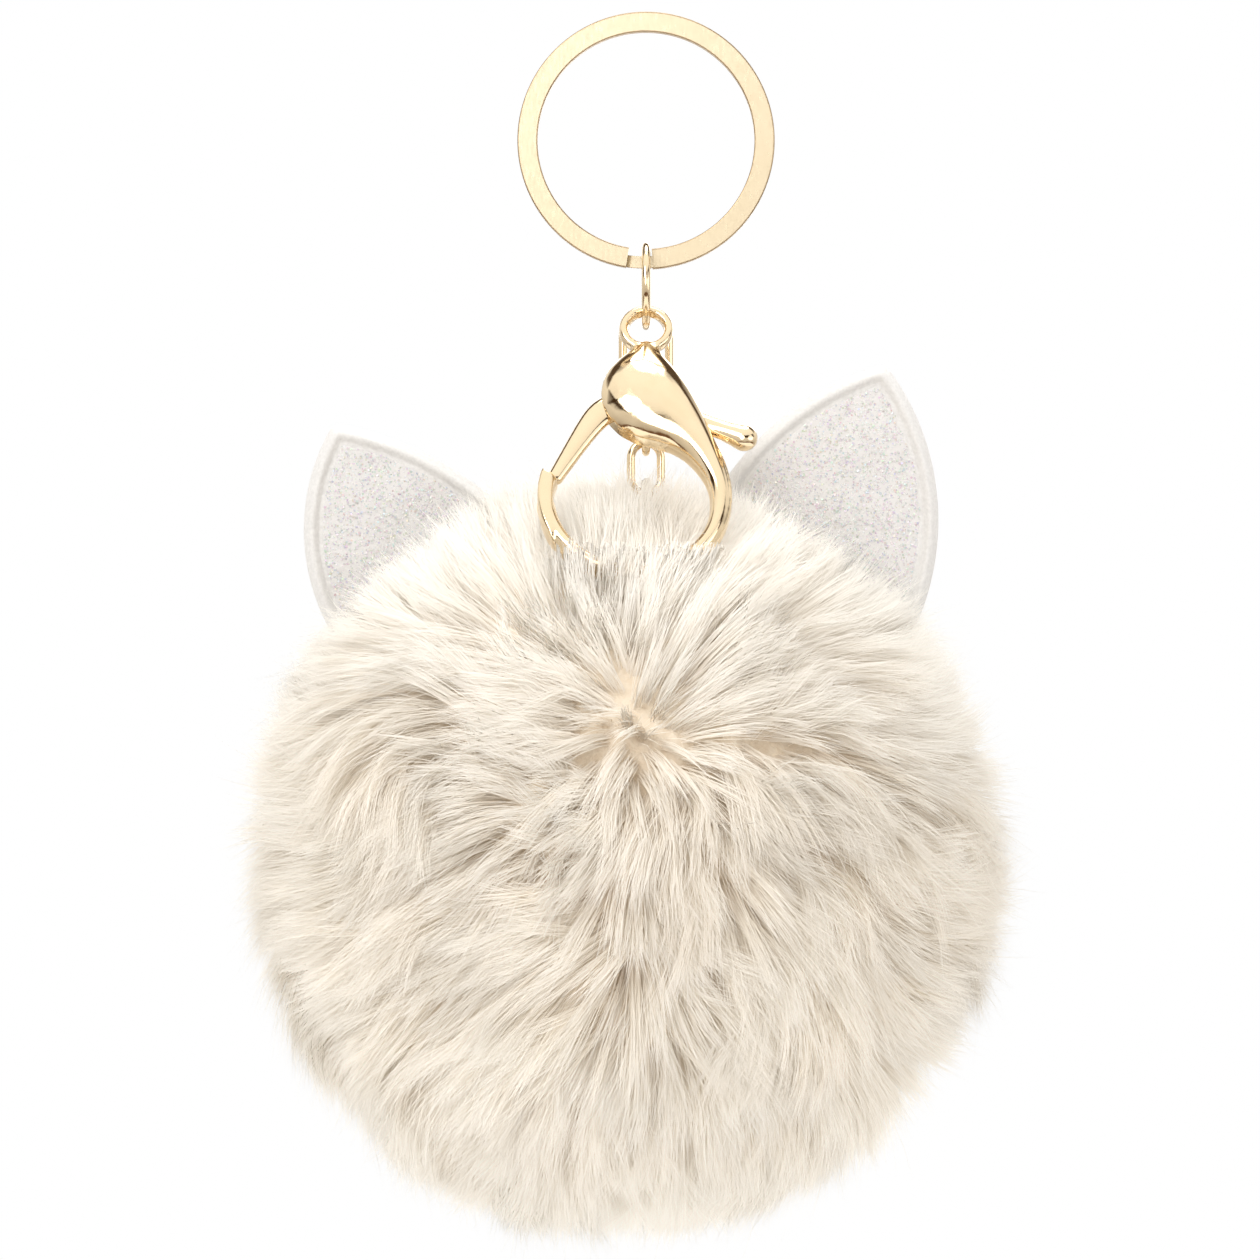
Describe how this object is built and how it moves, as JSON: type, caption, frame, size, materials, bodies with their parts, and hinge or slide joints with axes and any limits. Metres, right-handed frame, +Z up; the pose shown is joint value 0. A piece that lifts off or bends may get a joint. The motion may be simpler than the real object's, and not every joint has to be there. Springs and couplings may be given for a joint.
{
  "type": "plush keychain",
  "caption": "Faux-fur ball with cat ears on a short chain, hung with a lobster clasp from a split key ring.",
  "frame": {"origin": "centre of the split key ring, midway between its two turns", "axes": "+Z up along the hanging object, +X to the right seen from the front, -Y to the front, where the clasp and the ears' sparkle panels face"},
  "size_m": [0.087, 0.087, 0.142],
  "materials": {
    "ring_metal": "satin",
    "clasp_metal": "polished",
    "steel": "satin",
    "cord": "matte",
    "thread": "matte",
    "stuffing": "matte",
    "backing": "matte",
    "fur": "matte",
    "ear_cloth": "matte",
    "sparkle_cloth": "satin"
  },
  "bodies": {
    "split_ring": {"split_ring": "ring_metal"},
    "jump_ring": {"jump_ring": "clasp_metal"},
    "clasp": {"clasp_body": "clasp_metal", "clasp_pin": "steel", "clasp_spring": "steel"},
    "gate": {"clasp_gate": "clasp_metal"},
    "upper_link": {"upper_link": "clasp_metal"},
    "middle_link": {"middle_link": "clasp_metal"},
    "lower_link": {"lower_link": "clasp_metal"},
    "pompom": {"hanging_loop": "cord", "loop_knot": "cord", "gather_thread": "thread", "stuffing": "stuffing", "fur_backing": "backing", "fur_pile": "fur", "left_ear_cover": "ear_cloth", "left_ear_panel": "sparkle_cloth", "left_ear_filling": "stuffing", "right_ear_cover": "ear_cloth", "right_ear_panel": "sparkle_cloth", "right_ear_filling": "stuffing"}
  },
  "joints": [
    {"name": "jump_ring_swing", "type": "hinge", "parent": "split_ring", "child": "jump_ring", "pos_m": [0, 0, -0.0142], "axis": [1, 0, 0], "range_deg": [-90, 90]},
    {"name": "clasp_swing", "type": "hinge", "parent": "jump_ring", "child": "clasp", "pos_m": [0, -0.00419, -0.02229], "axis": [0, 0.8572, -0.515], "range_deg": [-20, 20]},
    {"name": "gate_open", "type": "hinge", "parent": "clasp", "child": "gate", "pos_m": [-0.0015, -0.00945, -0.03104], "axis": [0, -0.8572, 0.515], "range_deg": [0, 22], "stiffness_Nm_per_rad": 0.004, "springref_deg": -85.94, "deforming": ["clasp_spring"]},
    {"name": "upper_link_swing", "type": "hinge", "parent": "jump_ring", "child": "upper_link", "pos_m": [0, 0.0009, -0.0227], "axis": [0, 1, 0], "range_deg": [-10, 10]},
    {"name": "middle_link_swing", "type": "hinge", "parent": "upper_link", "child": "middle_link", "pos_m": [0, 0.0009, -0.02952], "axis": [1, 0, 0], "range_deg": [0, 25]},
    {"name": "lower_link_swing", "type": "hinge", "parent": "middle_link", "child": "lower_link", "pos_m": [0, 0.0009, -0.03695], "axis": [0, 1, 0], "range_deg": [-10, 10]},
    {"name": "pompom_swing", "type": "hinge", "parent": "lower_link", "child": "pompom", "pos_m": [0, 0.0009, -0.04112], "axis": [1, 0, 0], "range_deg": [0, 15]}
  ]
}
